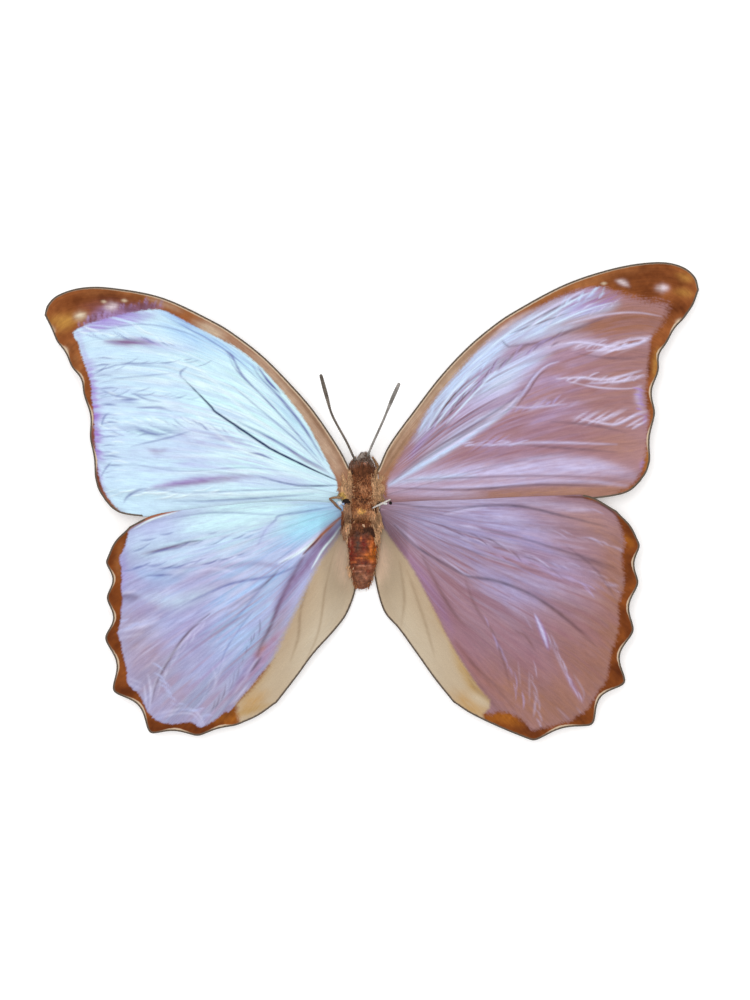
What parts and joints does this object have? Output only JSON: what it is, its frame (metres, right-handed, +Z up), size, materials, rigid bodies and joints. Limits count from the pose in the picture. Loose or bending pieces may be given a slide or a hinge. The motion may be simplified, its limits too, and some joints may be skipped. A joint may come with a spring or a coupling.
{
  "type": "spread butterfly specimen",
  "caption": "Dried morpho butterfly with pearly scalloped wings spread flat, back uppermost, lying on its folded legs.",
  "frame": {"origin": "middle of the flat patch under the thorax, on the surface that the specimen rests on", "axes": "+X across the wings towards the insect's right side as seen from above, +Y from the tail to the head, +Z up out of the back"},
  "size_m": [0.1295, 0.0949, 0.0098],
  "materials": {
    "wing_pearl_blue": "pearly pale blue scales, brown scalloped border, beige inner field",
    "wing_pearl_lilac": "pearly lilac to rosy brown scales, brown scalloped border, beige inner field",
    "brown_fur": "dense brown and golden hair",
    "chestnut_shell": "glossy chestnut, ringed",
    "dark_eye": "dark and glossy, finely faceted",
    "grey_brown_horn": "matte, finely ringed",
    "tan_scales": "matte tan scales"
  },
  "bodies": {
    "root": {"forewing_left": "wing_pearl_blue", "hindwing_left": "wing_pearl_blue", "forewing_right": "wing_pearl_lilac", "hindwing_right": "wing_pearl_lilac", "thorax": "brown_fur", "head": "brown_fur", "eye_left": "dark_eye", "eye_right": "dark_eye", "palp_left": "brown_fur", "palp_right": "brown_fur", "proboscis": "grey_brown_horn", "antenna_left": "grey_brown_horn", "antenna_right": "grey_brown_horn", "abdomen": "chestnut_shell", "foreleg_left": "tan_scales", "foreleg_right": "tan_scales", "middle_leg_left": "tan_scales", "middle_leg_right": "tan_scales", "hind_leg_left": "tan_scales", "hind_leg_right": "tan_scales"}
  },
  "joints": []
}
